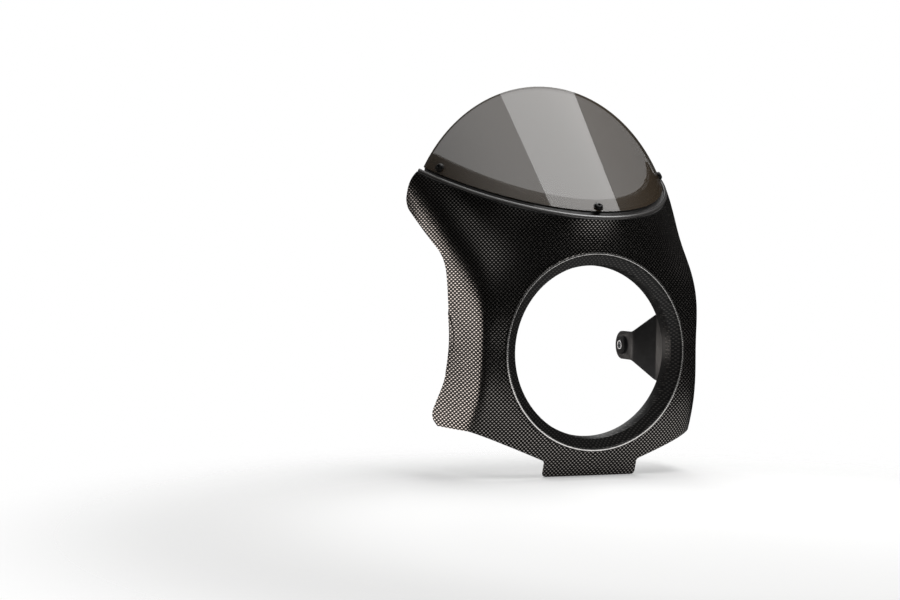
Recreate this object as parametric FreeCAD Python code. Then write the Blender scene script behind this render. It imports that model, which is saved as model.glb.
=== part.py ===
import FreeCAD, Part
import math
import os
from collections import namedtuple
from FreeCAD import Placement, Rotation, Vector

os.makedirs("parts", exist_ok=True)

# Half fairing for a round-lamp motorcycle: a moulded shell round the lamp, a smoked screen on its brow.
# Front faces -Y, +X is the rider's left, +Z is up. Sizes in mm.
# Y is measured from the plane of the lamp lip, and moved to the middle of the lamp seat when saved.

# Shell sections. Each lies in the plane Z = height + slope * Y and is a half oval, squarer at the waist.
# Toe-in is the share of the width by which the side walls close in towards the nose.
Section = namedtuple("Section", "height slope nose half_width depth squareness toe_in")
brow = Section(156.3, 0.337, -11.0, 180.0, 288.0, 2.0, 0.0)
shoulder = Section(112.0, 0.23, -2.0, 161.5, 197.0, 2.95, 0.0)
temple = Section(62.0, 0.10, 0.0, 150.3, 124.0, 13.0, 0.09)
waist = Section(8.0, 0.0, 0.0, 143.3, 82.0, 15.0, 0.058)
cheek = Section(-45.0, -0.03, 0.0, 150.0, 111.0, 14.0, 0.092)
hem = Section(-95.0, -0.05, 2.0, 157.0, 142.0, 6.3, 0.105)
chin = Section(-145.0, -0.05, 14.0, 162.0, 168.0, 4.4, 0.1)
sections = (brow, shoulder, temple, waist, cheek, hem, chin)
section_steps = 36
tail_fractions = (0.3, 1.0)
tail_end_y = 300.0
wall = 3.0
bead_width = 4.6
bead_height = 5.2
bead_proud = 0.9
bead_steps = 4
shelf_drop = 3.4
shelf_thickness = 3.0
roof_overcut = 1.0

# Rear and lower edges of the shell.
brow_rear_y = 146.5
brow_rear_z = 204.0
wing_tip_y = 179.6
wing_tip_z = 164.4
wing_tip_radius = 10.5
waist_rear_y = 88.0
waist_top_z = 102.5
waist_top_radius = 35.0
waist_low_z = -33.0
waist_low_radius = 60.0
hem_rear_y = 117.0
hem_rear_z = -80.0
hem_rear_radius = 10.0
hem_front_y = 99.0
hem_z = -90.0
chin_tab_half = 58.0
chin_tab_z = -123.0
chin_bottom_z = -141.0
chin_rear_y = 48.0
hem_turn_x = 139.7
chin_corner_radius = 4.0
hem_turn_radius = 18.0

# Lamp opening: a rounded lip, a shallow funnel behind it, a throat and a round seat.
lip_crest_r = 110.7
lip_half = 2.4
lip_steps = 8
lip_back_y = 6.0
throat_step = 1.5
throat_y = 4.5
seat_r = 97.0
seat_front_y = 14.0
seat_length = 8.0
seat_wall = 3.0

# Screen: sheet bent into half an oval arch, leaning back.
rake_deg = 45.4
screen_inset = 2.0
screen_thickness = 3.0
screen_standoff = 1.5
screen_foot_gap = 2.8
screen_foot_y = 143.8
screen_foot_z = brow_rear_z
screen_top_y = 146.2
screen_top_z = 312.0
land_thickness = 3.0
land_rise = 6.7
land_flare = 0.077
land_rear_reach = 4.0

# Screen fixings: screw, washer, rubber well nut and its threaded insert.
screw_r = 2.5
screw_clear = 0.3
thread_clear = 0.05
head_r = 4.9
head_height = 2.9
head_dome = ((1.0, 0.0), (1.0, 0.3), (0.87, 0.68), (0.6, 0.93), (0.5, 1.0))
recess_across = 3.0
recess_depth = 1.7
washer_r = 5.6
washer_thickness = 0.8
centre_screw_place = 0.86
side_screw_x = 144.0
side_screw_place = 0.5
drill_length = 40.0
nut_flange_r = 5.6
nut_flange = 1.2
nut_body_r = 4.3
nut_clear = 0.05
nut_length = 13.0
nut_insert_r = 3.3
nut_insert_length = 7.5
seat_clear = 0.02
screw_tip = 1.0

# Stays: bent steel straps on bosses inside the shell, with rubber-bushed ears.
boss_y = 58.0
boss_z = 27.0
boss_r = 7.5
boss_face_x = 126.0
insert_r = 4.3
insert_length = 10.0
insert_hole_extra = 0.8
stay_thickness = 3.0
stay_front_y = 42.0
stay_bend_y = 82.0
stay_ear_bend_y = 110.0
stay_ear_y = 134.0
stay_inset = 18.0
stay_half_height = 40.0
ear_half_height = 17.0
ear_flat = 0.5
stay_bend_radius = 6.0
stay_corner_radius = 10.0
stay_screw_r = 3.0
stay_screw_clear = 0.3
stay_washer_r = 6.0
stay_washer_thickness = 1.6
stay_head_across = 10.0
stay_head_height = 4.0
stay_head_over = 0.6
stay_head_chamfer = 1.8
stay_head_chamfer_height = 1.2
bush_neck_r = 8.0
bush_flange_r = 11.0
bush_flange = 3.5
bush_round = 1.0
sleeve_r = 5.6
sleeve_bore_r = 4.2
sleeve_proud = 0.6

span = 400.0
reach = 300.0

along_rake = Vector(0, math.cos(math.radians(rake_deg)), math.sin(math.radians(rake_deg)))
across_rake = Vector(0, -math.sin(math.radians(rake_deg)), math.cos(math.radians(rake_deg)))
brow_angle = math.radians(rake_deg) - math.atan(brow.slope)
arch_height = brow.depth * math.hypot(1.0, brow.slope) * math.sin(brow_angle)
axis_y = brow.nose + brow.depth
arch_axis = Vector(0, axis_y, brow.height + brow.slope * axis_y)
land_inset = screen_inset + screen_thickness + screen_standoff
land_height = brow.height + land_rise
land_slope = brow.slope + land_flare
seat_middle_y = seat_front_y + seat_length / 2


def save(name, shape):
    """Write one piece, moved so that the frame starts in the middle of the lamp seat."""
    moved = shape.copy()
    moved.translate(Vector(0, -seat_middle_y, 0))
    moved.exportStep(os.path.join("parts", name + ".step"))


def mirrored(shape):
    """The same piece on the other side of the centre plane."""
    return shape.mirror(Vector(0, 0, 0), Vector(1, 0, 0))


def section_wire(section, inset):
    """Closed outline of one section: half oval, straight tails to the back, and a closing line."""
    half = section.half_width - inset
    depth = section.depth - inset
    nose = section.nose + inset
    tail_start = nose + depth
    plan = []
    for step in range(section_steps + 1):
        turn = math.pi * step / section_steps - math.pi / 2
        sine = math.sin(turn)
        cosine = abs(math.cos(turn))
        power = section.squareness
        stretch = (abs(sine) ** power + cosine ** power) ** (-1 / power)
        ahead = stretch * cosine
        plan.append((half * stretch * sine * (1 - section.toe_in * ahead), tail_start - depth * ahead))
    tail = [tail_start + (tail_end_y + inset - tail_start) * part for part in tail_fractions]
    plan = [(-half, y) for y in reversed(tail)] + plan + [(half, y) for y in tail]
    points = [Vector(x, y, section.height + section.slope * y) for x, y in plan]
    curve = Part.BSplineCurve()
    curve.interpolate(Points=points, Parameters=[float(i) for i in range(len(points))])
    return Part.Wire([curve.toShape(), Part.makeLine(points[-1], points[0])])


def brow_stack(rows):
    """Solid of straight-sided tiers through brow outlines at (inset, rise) steps, from the lowest up."""
    wires = [section_wire(brow._replace(height=brow.height + rise), inset) for inset, rise in rows]
    return Part.makeLoft(wires, True, True)


def rounded_wire(corners, to_space):
    """Closed outline through (u, v, radius) corners, each turned with its own radius."""
    count = len(corners)
    ends = []
    edges = []
    for index in range(count):
        here = Vector(corners[index][0], corners[index][1], 0)
        before = Vector(corners[index - 1][0], corners[index - 1][1], 0) - here
        after = Vector(corners[(index + 1) % count][0], corners[(index + 1) % count][1], 0) - here
        before.normalize()
        after.normalize()
        radius = corners[index][2]
        half_turn = before.getAngle(after) / 2
        setback = radius / math.tan(half_turn)
        inward = (before + after).normalize()
        middle = here + inward * (radius / math.sin(half_turn) - radius)
        ends.append((here + before * setback, middle, here + after * setback, radius))
    for index in range(count):
        start, middle, finish, radius = ends[index]
        if radius > 0:
            edges.append(Part.Arc(to_space(start), to_space(middle), to_space(finish)).toShape())
        edges.append(Part.makeLine(to_space(finish), to_space(ends[(index + 1) % count][0])))
    return Part.Wire(edges)


def side_prism(corners):
    """Solid with a side-view outline of (Y, Z, radius) corners, right through the part's width."""
    wire = rounded_wire(corners, lambda p: Vector(-span / 2, p.x, p.y))
    return Part.Face(wire).extrude(Vector(span, 0, 0))


def front_prism(corners):
    """Solid with a front-view outline of (X, Z, radius) corners, right through the part's depth."""
    wire = rounded_wire(corners, lambda p: Vector(p.x, -reach / 2, p.y))
    return Part.Face(wire).extrude(Vector(0, span + reach, 0))


def above(height, slope):
    """Everything over the plane Z = height + slope * Y."""
    low = height - slope * reach
    high = height + slope * reach
    return side_prism([(-reach, low, 0), (reach, high, 0), (reach, high + span, 0), (-reach, low + span, 0)])


def arch_prism(inset):
    """Solid under the raked arch, set in by inset from the arch through the bead."""
    half = brow.half_width - inset
    rise = arch_height - inset
    arc = Part.ArcOfEllipse(Part.Ellipse(Vector(0, 0, 0), half, rise), 0, math.pi).toShape()
    base = Part.makeLine(Vector(-half, 0, 0), Vector(half, 0, 0))
    solid = Part.Face(Part.Wire([arc, base])).extrude(Vector(0, 0, 2 * reach))
    solid.translate(Vector(0, 0, -reach))
    solid.Placement = Placement(arch_axis, Rotation(Vector(1, 0, 0), 90 + rake_deg)).multiply(solid.Placement)
    return solid


def rake_run(foot, height, slope):
    """How far up the rake from foot the plane Z = height + slope * Y is met."""
    return (height + slope * foot.y - foot.z) / (along_rake.z - slope * along_rake.y)


def arch_station(x, place):
    """Point on the screen's outer face at half width x, and its normal.

    The point lies a share of the way, place, from the brow to the edge of the land.
    The last value is how much of each millimetre of inset is met along that normal.
    """
    half = brow.half_width - screen_inset
    high = arch_height - screen_inset
    sine = x / half
    cosine = math.sqrt(1 - sine * sine)
    foot = arch_axis + Vector(x, 0, 0) + across_rake * (high * cosine)
    low = rake_run(foot, brow.height, brow.slope)
    high_run = rake_run(foot, land_height, land_slope)
    normal = (Vector(sine / half, 0, 0) + across_rake * (cosine / high)).normalize()
    felt = sine * normal.x + cosine * normal.dot(across_rake)
    return foot + along_rake * (low + (high_run - low) * place), normal, felt


def turned(profile, base, axis):
    """Solid turned from a closed (radius, height) outline about an axis that leaves base."""
    points = [Vector(r, 0, h) for r, h in profile]
    points.append(points[0])
    solid = Part.Face(Part.makePolygon(points)).revolve(Vector(0, 0, 0), Vector(0, 0, 1), 360)
    solid.Placement = Placement(base, Rotation(Vector(0, 0, 1), axis))
    return solid


def hexagon(across, height, base, axis):
    """Hexagonal prism, measured across its flats."""
    corner = across / math.sqrt(3)
    turns = [k * math.pi / 3 for k in range(7)]
    points = [Vector(corner * math.cos(turn), corner * math.sin(turn), 0) for turn in turns]
    solid = Part.Face(Part.makePolygon(points)).extrude(Vector(0, 0, height))
    solid.Placement = Placement(base, Rotation(Vector(0, 0, 1), axis))
    return solid


# Shell body: outer skin, hollowed, and roofed by a narrow shelf.
shelf_z = brow.height - shelf_drop
roof_z = shelf_z - shelf_thickness
outer = Part.makeLoft([section_wire(s, 0.0) for s in sections], True, False)
outer = outer.cut(above(shelf_z, brow.slope))
inner = Part.makeLoft([section_wire(s, wall) for s in sections], True, False)
inner = inner.cut(above(roof_z, brow.slope))
shell = outer.cut(inner)

# Bead: the rolled rim along the brow, a little proud of the skin, with a groove between it and the screen.
bead_rows = []
for step in range(bead_steps + 1):
    turn = math.pi / 2 * step / bead_steps
    bead_rows.append((bead_width / 2 * (1 - math.cos(turn)), bead_height / 2 * (math.sin(turn) - 1)))
bead_foot = (bead_width / 2, -bead_height)
bead_face = [bead_foot, (0.0, -bead_height / 2)] + bead_rows[1:]
bead = brow_stack([(inset - bead_proud, drop) for inset, drop in bead_face])
groove = [(bead_width - inset, drop) for inset, drop in bead_rows]
groove = [(bead_width, -bead_height - shelf_thickness)] + groove + [(bead_width / 2, shelf_thickness)]
shell = shell.fuse(bead.cut(brow_stack([(inset - bead_proud, drop) for inset, drop in groove])))

# Land: the shell's own raked flange behind the screen, rising from the shelf.
land_room = above(roof_z, brow.slope).cut(above(land_height, land_slope))
shell = shell.fuse(arch_prism(land_inset).common(land_room))
shell = shell.cut(arch_prism(land_inset + land_thickness).common(above(roof_z - roof_overcut, brow.slope)))

# Trim of the rear edge in side view and of the lower edge in front view.
shell = shell.common(side_prism([
    (-reach / 2, -reach, 0), (chin_rear_y, -reach, 0), (chin_rear_y, hem_z, 0), (hem_front_y, hem_z, 0),
    (hem_rear_y, hem_rear_z, hem_rear_radius), (waist_rear_y, waist_low_z, waist_low_radius),
    (waist_rear_y, waist_top_z, waist_top_radius), (wing_tip_y, wing_tip_z, wing_tip_radius),
    (brow_rear_y, brow_rear_z, 0), (screen_foot_y + land_rear_reach, screen_foot_z + wall, 0),
    (screen_top_y + land_rear_reach, screen_top_z, 0), (-reach / 2, screen_top_z, 0)]))
shell = shell.common(front_prism([
    (-span / 2, hem_z, 0), (-hem_turn_x, hem_z, hem_turn_radius),
    (-chin_tab_half, chin_tab_z, chin_corner_radius), (-chin_tab_half, chin_bottom_z, chin_corner_radius),
    (chin_tab_half, chin_bottom_z, chin_corner_radius), (chin_tab_half, chin_tab_z, chin_corner_radius),
    (hem_turn_x, hem_z, hem_turn_radius), (span / 2, hem_z, 0), (span / 2, span, 0), (-span / 2, span, 0)]))

# Lamp opening: lip, funnel and seat turned about the lamp axis as one ring.
funnel_front_r = lip_crest_r - lip_half
throat_r = seat_r + throat_step
seat_back_y = seat_front_y + seat_length
lip_outer_r = lip_crest_r + lip_half
lip_turns = [math.pi * step / lip_steps for step in range(lip_steps + 1)]
lip_points = [Vector(lip_crest_r + lip_half * math.cos(t), -lip_half * math.sin(t), 0) for t in lip_turns]
ring_points = lip_points + [
    Vector(throat_r, throat_y, 0), Vector(seat_r, seat_front_y, 0), Vector(seat_r, seat_back_y, 0),
    Vector(seat_r + seat_wall, seat_back_y, 0), Vector(throat_r + seat_wall, throat_y + seat_wall, 0),
    Vector(funnel_front_r, lip_back_y, 0), Vector(lip_outer_r, lip_back_y, 0), Vector(lip_outer_r, 0, 0)]
ring = Part.Face(Part.makePolygon(ring_points)).revolve(Vector(0, 0, 0), Vector(0, 1, 0), 360)
opening = Part.makeCylinder(lip_crest_r, reach, Vector(0, -reach / 2, 0), Vector(0, 1, 0))
shell = shell.cut(opening).fuse(ring)

# Bosses for the stays, grown from the side walls.
boss_seats = [(side, z) for side in (1, -1) for z in (boss_z, -boss_z)]
for side, z in boss_seats:
    boss = Part.makeCylinder(boss_r, reach, Vector(side * boss_face_x, boss_y, z), Vector(side, 0, 0))
    hole = Part.makeCylinder(insert_r + seat_clear, insert_length + insert_hole_extra,
                             Vector(side * boss_face_x, boss_y, z), Vector(side, 0, 0))
    shell = shell.fuse(boss.common(outer)).cut(hole)

# Screen: one bent sheet, its foot just clear of the shelf, its rear edge almost upright.
screen = arch_prism(screen_inset).cut(arch_prism(screen_inset + screen_thickness))
screen = screen.common(above(brow.height + screen_foot_gap, brow.slope))
screen = screen.common(side_prism([
    (-reach, -reach, 0), (screen_foot_y, -reach, 0), (screen_foot_y, screen_foot_z, 0),
    (screen_top_y, screen_top_z + wall, 0), (-reach, screen_top_z + wall, 0)]))

# Screen fixings at the nose and near both ends.
stations = [arch_station(0.0, centre_screw_place), arch_station(side_screw_x, side_screw_place),
            arch_station(-side_screw_x, side_screw_place)]
screen_screws = []
screen_washers = []
well_nuts = []
well_nut_inserts = []
for point, normal, felt in stations:
    inward = normal * -1
    land_depth = (land_inset - screen_inset) * felt
    nut_end = land_depth + nut_length
    drill_start = point + normal * (drill_length / 2)
    screen = screen.cut(Part.makeCylinder(screw_r + screw_clear, drill_length, drill_start, inward))
    nut_start = point + inward * screen_thickness
    shell = shell.cut(Part.makeCylinder(nut_body_r + nut_clear, drill_length, nut_start, inward))
    washer = [(screw_r + screw_clear, 0), (washer_r, 0), (washer_r, washer_thickness),
              (screw_r + screw_clear, washer_thickness)]
    screen_washers.append(turned(washer, point, normal))
    head_foot = washer_thickness
    head_top = head_foot + head_height
    tip = -nut_end - screw_tip
    shank = [(0, tip), (screw_r - screw_tip / 2, tip), (screw_r, tip + screw_tip / 2), (screw_r, head_foot)]
    dome = [(head_r * out, head_foot + head_height * up) for out, up in head_dome]
    screw = shank + dome + [(0, head_top)]
    socket = hexagon(recess_across, head_height, point + normal * (head_top - recess_depth), normal)
    screen_screws.append(turned(screw, point, normal).cut(socket))
    flange_foot = nut_clear - land_depth
    bore_r = screw_r + screw_clear
    pocket_r = nut_insert_r + seat_clear
    pocket_top = -nut_end + nut_insert_length + seat_clear
    flange_top = flange_foot + nut_flange
    nut = [(bore_r, flange_top), (nut_flange_r, flange_top), (nut_flange_r, flange_foot),
           (nut_body_r, flange_foot), (nut_body_r, -nut_end), (pocket_r, -nut_end), (pocket_r, pocket_top),
           (bore_r, pocket_top)]
    well_nuts.append(turned(nut, point, normal))
    core_top = -nut_end + nut_insert_length
    core = [(screw_r + thread_clear, -nut_end), (nut_insert_r, -nut_end), (nut_insert_r, core_top),
            (screw_r + thread_clear, core_top)]
    well_nut_inserts.append(turned(core, point, normal))

# Left stay: a strap that steps inwards behind the bosses and ends in a bushed ear.
stay_mid_x = boss_face_x - stay_thickness / 2
ear_mid_x = stay_mid_x - stay_inset
stay_tail_y = stay_ear_y + ear_half_height
ear_end_radius = ear_half_height - ear_flat
step_angle = math.atan2(stay_inset, stay_ear_bend_y - stay_bend_y)
mitre = stay_thickness / 2 * math.tan(step_angle / 2)
outer_radius = stay_bend_radius + stay_thickness
stay_plan = [
    (stay_mid_x + stay_thickness / 2, stay_front_y, 0),
    (stay_mid_x + stay_thickness / 2, stay_bend_y + mitre, outer_radius),
    (ear_mid_x + stay_thickness / 2, stay_ear_bend_y + mitre, stay_bend_radius),
    (ear_mid_x + stay_thickness / 2, stay_tail_y, 0), (ear_mid_x - stay_thickness / 2, stay_tail_y, 0),
    (ear_mid_x - stay_thickness / 2, stay_ear_bend_y - mitre, outer_radius),
    (stay_mid_x - stay_thickness / 2, stay_bend_y - mitre, stay_bend_radius),
    (stay_mid_x - stay_thickness / 2, stay_front_y, 0)]
stay_wire = rounded_wire(stay_plan, lambda p: Vector(p.x, p.y, -stay_half_height))
stay = Part.Face(stay_wire).extrude(Vector(0, 0, 2 * stay_half_height))
stay = stay.common(side_prism([
    (stay_front_y, stay_half_height, stay_corner_radius), (stay_bend_y, stay_half_height, stay_corner_radius),
    (stay_ear_bend_y, ear_half_height, stay_corner_radius), (stay_tail_y, ear_half_height, ear_end_radius),
    (stay_tail_y, -ear_half_height, ear_end_radius), (stay_ear_bend_y, -ear_half_height, stay_corner_radius),
    (stay_bend_y, -stay_half_height, stay_corner_radius),
    (stay_front_y, -stay_half_height, stay_corner_radius)]))
stay = stay.cut(Part.makeCylinder(bush_neck_r, span, Vector(0, stay_ear_y, 0), Vector(1, 0, 0)))
for z in (boss_z, -boss_z):
    hole = Part.makeCylinder(stay_screw_r + stay_screw_clear, span, Vector(0, boss_y, z), Vector(1, 0, 0))
    stay = stay.cut(hole)

# Stay fixings: moulded-in inserts, screws and washers on the inside of each strap.
stay_inserts = []
stay_screws = []
stay_washers = []
for side, z in boss_seats:
    seat = Vector(side * boss_face_x, boss_y, z)
    into_wall = Vector(side, 0, 0)
    insert = [(stay_screw_r + thread_clear, 0), (insert_r, 0), (insert_r, insert_length),
              (stay_screw_r + thread_clear, insert_length)]
    stay_inserts.append(turned(insert, seat, into_wall))
    strap_face = -stay_thickness
    washer_face = strap_face - stay_washer_thickness
    ring_outline = [(stay_screw_r + stay_screw_clear, washer_face), (stay_washer_r, washer_face),
                    (stay_washer_r, strap_face), (stay_screw_r + stay_screw_clear, strap_face)]
    stay_washers.append(turned(ring_outline, seat, into_wall))
    head_seat = seat + into_wall * washer_face
    shank = Part.makeCylinder(stay_screw_r, insert_length - washer_face, head_seat, into_wall)
    head = hexagon(stay_head_across, stay_head_height, head_seat, into_wall * -1)
    dome_r = stay_head_across / math.sqrt(3) + stay_head_over
    dome = turned([(0, 0), (dome_r, 0), (dome_r, stay_head_height - stay_head_chamfer_height),
                   (dome_r - stay_head_chamfer, stay_head_height), (0, stay_head_height)],
                  head_seat, into_wall * -1)
    stay_screws.append(shank.fuse(head.common(dome)))

# Ear bushes: a grooved rubber bush in each ear and a steel sleeve through it.
stay_bushes = []
bush_sleeves = []
for side in (1, -1):
    middle = Vector(side * ear_mid_x, stay_ear_y, 0)
    lean = Vector(side, 0, 0)
    neck = stay_thickness / 2
    end = neck + bush_flange
    grip = neck + seat_clear
    bore_r = sleeve_r + seat_clear
    groove_r = bush_neck_r - seat_clear
    rim_r = bush_flange_r - bush_round
    bush = [(bore_r, -end), (rim_r, -end), (bush_flange_r, -end + bush_round), (bush_flange_r, -grip),
            (groove_r, -grip), (groove_r, grip), (bush_flange_r, grip), (bush_flange_r, end - bush_round),
            (rim_r, end), (bore_r, end)]
    stay_bushes.append(turned(bush, middle, lean))
    half_sleeve = end + sleeve_proud
    sleeve = [(sleeve_bore_r, -half_sleeve), (sleeve_r, -half_sleeve), (sleeve_r, half_sleeve),
              (sleeve_bore_r, half_sleeve)]
    bush_sleeves.append(turned(sleeve, middle, lean))

save("fairing_shell", shell.removeSplitter())
save("windscreen", screen.removeSplitter())
save("screen_screws", Part.makeCompound(screen_screws))
save("screen_washers", Part.makeCompound(screen_washers))
save("well_nuts", Part.makeCompound(well_nuts))
save("well_nut_inserts", Part.makeCompound(well_nut_inserts))
save("stay_left", stay)
save("stay_right", mirrored(stay))
save("stay_inserts", Part.makeCompound(stay_inserts))
save("stay_screws", Part.makeCompound(stay_screws))
save("stay_washers", Part.makeCompound(stay_washers))
save("stay_bushes", Part.makeCompound(stay_bushes))
save("bush_sleeves", Part.makeCompound(bush_sleeves))
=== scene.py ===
"""Dress the half fairing: a carbon-weave shell round the lamp, a smoked screen, and the fixings that carry them.

Lengths are in metres. The frame's origin is in the middle of the lamp seat, the front faces -Y and +Z is up.
"""
import logging
import math
from dataclasses import dataclass, field
from enum import Enum
from functools import partialmethod

import bmesh
import bpy
import numpy as np
from mathutils import Matrix, Vector


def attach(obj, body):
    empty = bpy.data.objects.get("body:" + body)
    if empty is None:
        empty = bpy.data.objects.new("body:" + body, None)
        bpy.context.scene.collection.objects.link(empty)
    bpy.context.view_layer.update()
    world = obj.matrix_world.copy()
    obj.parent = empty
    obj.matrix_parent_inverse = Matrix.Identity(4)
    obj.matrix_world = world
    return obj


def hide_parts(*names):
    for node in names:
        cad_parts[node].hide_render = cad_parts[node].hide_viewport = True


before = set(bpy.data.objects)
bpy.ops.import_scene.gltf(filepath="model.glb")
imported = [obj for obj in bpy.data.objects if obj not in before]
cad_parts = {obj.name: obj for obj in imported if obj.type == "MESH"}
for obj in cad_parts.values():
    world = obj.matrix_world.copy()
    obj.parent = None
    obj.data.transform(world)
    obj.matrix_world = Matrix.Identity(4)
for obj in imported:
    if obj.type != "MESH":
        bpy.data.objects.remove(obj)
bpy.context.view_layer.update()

LOG = logging.getLogger("half_fairing")
BODY = "root"
WEAVE = "weave"
EDGE = "edge"
AXIS = "axis"
LIP_TO_SEAT = 0.018  # the lip's plane lies this far in front of the seat
BROW_HEIGHT = 0.1563  # the brow's plane, at the lip
BROW_SLOPE = 0.337  # its rise towards the back
MERGE_GAP = 1e-6
EDGE_STEPS = 2
Colour = tuple[float, float, float]
Point = tuple[float, float, float]
Span = tuple[float, float]


class Slot(Enum):
    """Material slots of the record."""

    SHELL = "shell"
    SCREEN = "screen"
    BLACK_SCREW = "black_screw"
    NYLON = "nylon"
    RUBBER = "rubber"
    BRASS = "brass"
    STAY_PAINT = "stay_paint"
    ZINC = "zinc"


class Row(Enum):
    """How one row of a turned fitting runs round its axis."""

    ROUND = 0.0
    HEXAGON = 1.0

    def at(self, *places: "tuple[Operand, Operand]") -> "Outline":
        """Rows of this kind, from their radii and heights."""
        return [(radius, height, self) for radius, height in places]

    def scaled(self, radius: "Operand", foot: "Operand", unit: "Operand", shares: "tuple[Span, ...]") -> "Outline":
        """Rows of this kind, from shares of a radius and of a unit of height above a foot."""
        return self.at(*((radius * wide, foot + unit * high) for wide, high in shares))


class Value:
    """One output of a node, with arithmetic that adds Math nodes to its tree."""

    def __init__(self, graph: "Graph", socket: bpy.types.NodeSocket) -> None:
        """Wrap a socket of a graph."""
        self.graph = graph
        self.socket = socket

    def math(self, operation: str, *others: "Operand") -> "Value":
        """Add one Math node, fed by this value first."""
        return self.graph.math(operation, self, *others)

    def math_last(self, operation: str, other: "Operand") -> "Value":
        """Add one Math node, fed by this value last."""
        return self.graph.math(operation, other, self)

    __add__ = partialmethod(math, "ADD")
    __radd__ = partialmethod(math_last, "ADD")
    __sub__ = partialmethod(math, "SUBTRACT")
    __rsub__ = partialmethod(math_last, "SUBTRACT")
    __mul__ = partialmethod(math, "MULTIPLY")
    __rmul__ = partialmethod(math_last, "MULTIPLY")
    __truediv__ = partialmethod(math, "DIVIDE")
    __rtruediv__ = partialmethod(math_last, "DIVIDE")
    __pow__ = partialmethod(math, "POWER")

    def mix(self, low: "Operand", high: "Operand") -> "Value":
        """Go from low to high as this value goes from 0 to 1."""
        return low + (high - low) * self


Operand = Value | float | int


class Graph:
    """A node tree, and the one call that adds nodes to it."""

    def __init__(self, tree: bpy.types.NodeTree) -> None:
        """Work on a tree."""
        self.tree = tree

    @staticmethod
    def find(sockets: bpy.types.bpy_prop_collection, key: str | int) -> bpy.types.NodeSocket:
        """Find one of a node's inputs or outputs by place, identifier or name."""
        if isinstance(key, int):
            return sockets[key]
        for socket in sockets:
            if socket.identifier == key:
                return socket
        return sockets[key]

    def feed(self, socket: bpy.types.NodeSocket, source: object) -> None:
        """Link a value to an input, or set a constant on it."""
        if isinstance(source, Value):
            self.tree.links.new(source.socket, socket)
        else:
            socket.default_value = source

    def node(self, kind: str, settings: dict | None = None, sockets: dict | None = None) -> bpy.types.Node:
        """Add a node.

        Args:
            kind: The node's type.
            settings: Its own settings, set first; "items" counts a switch's choices.
            sockets: Numbers, colours or values for its inputs, by name, identifier or place.

        Returns:
            The node.
        """
        made = self.tree.nodes.new(kind)
        for key, setting in (settings or {}).items():
            if key == "items":
                while len(made.index_switch_items) < setting:
                    made.index_switch_items.new()
            else:
                setattr(made, key, setting)
        for key, source in (sockets or {}).items():
            self.feed(self.find(made.inputs, key), source)
        return made

    def take(self, kind: str, output: str | int, settings: dict | None = None,
             sockets: dict | None = None) -> Value:
        """Add a node, as the call above does, and take one of its outputs."""
        return Value(self, self.find(self.node(kind, settings, sockets).outputs, output))

    def math(self, operation: str, *terms: Operand) -> Value:
        """Add a Math node."""
        return self.take("ShaderNodeMath", "Value", {"operation": operation}, dict(enumerate(terms)))

    def split(self, vector: Value) -> tuple[Value, Value, Value]:
        """Split a vector into its three parts."""
        parts = self.node("ShaderNodeSeparateXYZ", None, {"Vector": vector})
        return tuple(Value(self, parts.outputs[axis]) for axis in "XYZ")

    def join(self, x: Operand, y: Operand, z: Operand) -> Value:
        """Make a vector from three numbers."""
        return self.take("ShaderNodeCombineXYZ", "Vector", None, {"X": x, "Y": y, "Z": z})


class Shader(Graph):
    """A material's tree, with its surface shader at hand."""

    def __init__(self, name: str) -> None:
        """Start a new material."""
        self.material = bpy.data.materials.new(name)
        self.material.use_nodes = True
        super().__init__(self.material.node_tree)
        self.surface = self.tree.nodes["Principled BSDF"]

    def set(self, **sockets: object) -> None:
        """Set constants or values on the surface shader, with _ for spaces in the socket's name."""
        for key, source in sockets.items():
            self.feed(self.surface.inputs[key.replace("_", " ")], source)

    def place(self) -> Value:
        """Object coordinates."""
        return self.take("ShaderNodeTexCoord", "Object")

    def noise(self, where: Value, scale: float, detail: float = 2.0, roughness: float = 0.5) -> Value:
        """Smooth noise from 0 to 1."""
        return self.take("ShaderNodeTexNoise", "Fac", None,
                         {"Vector": where, "Scale": scale, "Detail": detail, "Roughness": roughness})

    def stretch(self, where: Value, factors: Point) -> Value:
        """Scale a vector by its axes."""
        return self.take("ShaderNodeVectorMath", "Vector", {"operation": "MULTIPLY"}, {0: where, 1: factors})

    def blend(self, share: Value, low: Colour | Value, high: Colour | Value) -> Value:
        """Mix two colours."""
        ends = [end if isinstance(end, Value) else (*end, 1.0) for end in (low, high)]
        return self.take("ShaderNodeMix", "Result_Color", {"data_type": "RGBA"},
                         {"Factor_Float": share, "A_Color": ends[0], "B_Color": ends[1]})

    def ease(self, share: Value, low: float, high: float) -> Value:
        """Smooth step from low to high."""
        return self.take("ShaderNodeMapRange", "Result", {"interpolation_type": "SMOOTHSTEP"},
                         {"Value": share, "From Min": low, "From Max": high})

    def bump(self, height: Value, distance: float, strength: float = 1.0) -> Value:
        """Normal of a relief, whose height of 1 stands distance metres proud."""
        return self.take("ShaderNodeBump", "Normal", None,
                         {"Height": height, "Distance": distance, "Strength": strength})


@dataclass(frozen=True)
class Finish:
    """A surface finish and the record's slot that it dresses."""

    slot: Slot

    def material(self) -> bpy.types.Material:
        """Make the finish's material, or find it when it is already there."""
        name = f"{self.slot.value}_finish"
        if name in bpy.data.materials:
            return bpy.data.materials[name]
        shader = Shader(name)
        self.paint(shader)
        return shader.material

    def paint(self, shader: Shader) -> None:
        """Fill the material's tree."""
        raise NotImplementedError


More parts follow.
